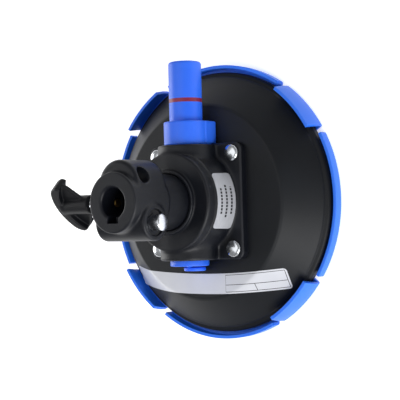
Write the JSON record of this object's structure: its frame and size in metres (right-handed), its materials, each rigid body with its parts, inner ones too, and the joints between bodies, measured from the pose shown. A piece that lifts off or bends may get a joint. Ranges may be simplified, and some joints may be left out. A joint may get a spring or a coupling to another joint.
{
  "type": "vacuum cup mount",
  "caption": "Pump-action vacuum cup with a black rubber pad, a swivelling socket for a 16 mm spigot, a locking wing screw and a blue clip-on pad cover.",
  "frame": {"origin": "on the pad's axis, on the underside of the pad cover, which rests on the ground", "axes": "+Z along the pad's axis, away from the surface that the pad grips, and out of the socket's mouth at rest; +Y along the pump's axis, towards the plunger's end; +X towards the safety pin's button"},
  "size_m": [0.1606, 0.1606, 0.1018],
  "materials": {
    "cover_blue": "satin moulded",
    "pad_rubber": "satin moulded rubber",
    "plate_steel": "plain",
    "felt": "felt",
    "label_white": "gloss film label",
    "casting_black": "black powder coat on cast aluminium",
    "zinc_screw": "bright zinc",
    "label_silver": "printed foil",
    "brass": "turned",
    "pump_blue": "satin moulded",
    "red_band": "gloss",
    "white_plastic": "turned",
    "seal_rubber": "smooth",
    "spring_steel": "drawn wire",
    "bronze": "sintered",
    "black_steel": "black oxide",
    "pin_chrome": "polished",
    "knob_black": "fine spark texture"
  },
  "bodies": {
    "cup": {"vacuum_pad": "pad_rubber", "pad_plate": "plate_steel", "pad_filter": "felt", "pad_label": "label_white", "pump_body": "casting_black", "body_screws": "zinc_screw", "body_label": "label_silver", "pump_liner": "brass", "collar": "pump_blue", "collar_wiper": "seal_rubber", "plunger_spring": "spring_steel", "valve_cage": "white_plastic", "valve_cap": "pump_blue", "release_spring": "spring_steel", "swivel_washer": "plate_steel", "swivel_screw": "black_steel"},
    "pad_cover": {"pad_cover": "cover_blue"},
    "plunger": {"plunger": "pump_blue", "red_line": "red_band", "piston": "white_plastic", "piston_seal": "seal_rubber", "piston_screw": "zinc_screw"},
    "intake_flap": {"intake_flap": "seal_rubber"},
    "release_lever": {"release_lever": "pump_blue", "release_seal": "seal_rubber", "release_nut": "brass"},
    "socket_head": {"socket_head": "casting_black", "swivel_bush": "bronze", "pin_spring": "spring_steel", "pin_cap": "black_steel"},
    "safety_pin": {"safety_pin": "pin_chrome"},
    "clamp_tip": {"clamp_tip": "brass"},
    "wing_screw": {"lock_screw": "zinc_screw", "wing_knob": "knob_black"}
  },
  "joints": [
    {"name": "cover_off", "type": "slide", "parent": "cup", "child": "pad_cover", "axis": [0, 0, -1], "range_m": [0, 0.025]},
    {"name": "pump_stroke", "type": "slide", "parent": "cup", "child": "plunger", "axis": [0, -1, 0], "range_m": [0, 0.022], "stiffness_N_per_m": 300, "springref_m": -0.008, "deforming": ["plunger_spring"]},
    {"name": "intake_lift", "type": "slide", "parent": "cup", "child": "intake_flap", "axis": [0, 1, 0], "range_m": [0, 0.0009]},
    {"name": "release_tilt", "type": "hinge", "parent": "cup", "child": "release_lever", "pos_m": [0, -0.0332, 0.0326], "axis": [-1, 0, 0], "range_deg": [0, 7], "stiffness_Nm_per_rad": 0.4, "springref_deg": -2.86, "deforming": ["release_spring"]},
    {"name": "socket_swivel", "type": "hinge", "parent": "cup", "child": "socket_head", "pos_m": [0, 0, 0.06], "axis": [0, 0, 1], "continuous": true},
    {"name": "pin_press", "type": "slide", "parent": "socket_head", "child": "safety_pin", "axis": [-1, 0, 0], "range_m": [0, 0.005], "stiffness_N_per_m": 400, "springref_m": -0.004, "deforming": ["pin_spring"]},
    {"name": "lock_travel", "type": "slide", "parent": "socket_head", "child": "clamp_tip", "axis": [1, 0, 0], "range_m": [-0.003, 0.004]},
    {"name": "lock_turn", "type": "hinge", "parent": "clamp_tip", "child": "wing_screw", "pos_m": [-0.03, 0, 0.087], "axis": [1, 0, 0], "range_deg": [-1081, 1441]}
  ],
  "couplings": [
    {"joint": "lock_turn", "follows": "lock_travel", "rad_per_m": 6283.2}
  ]
}
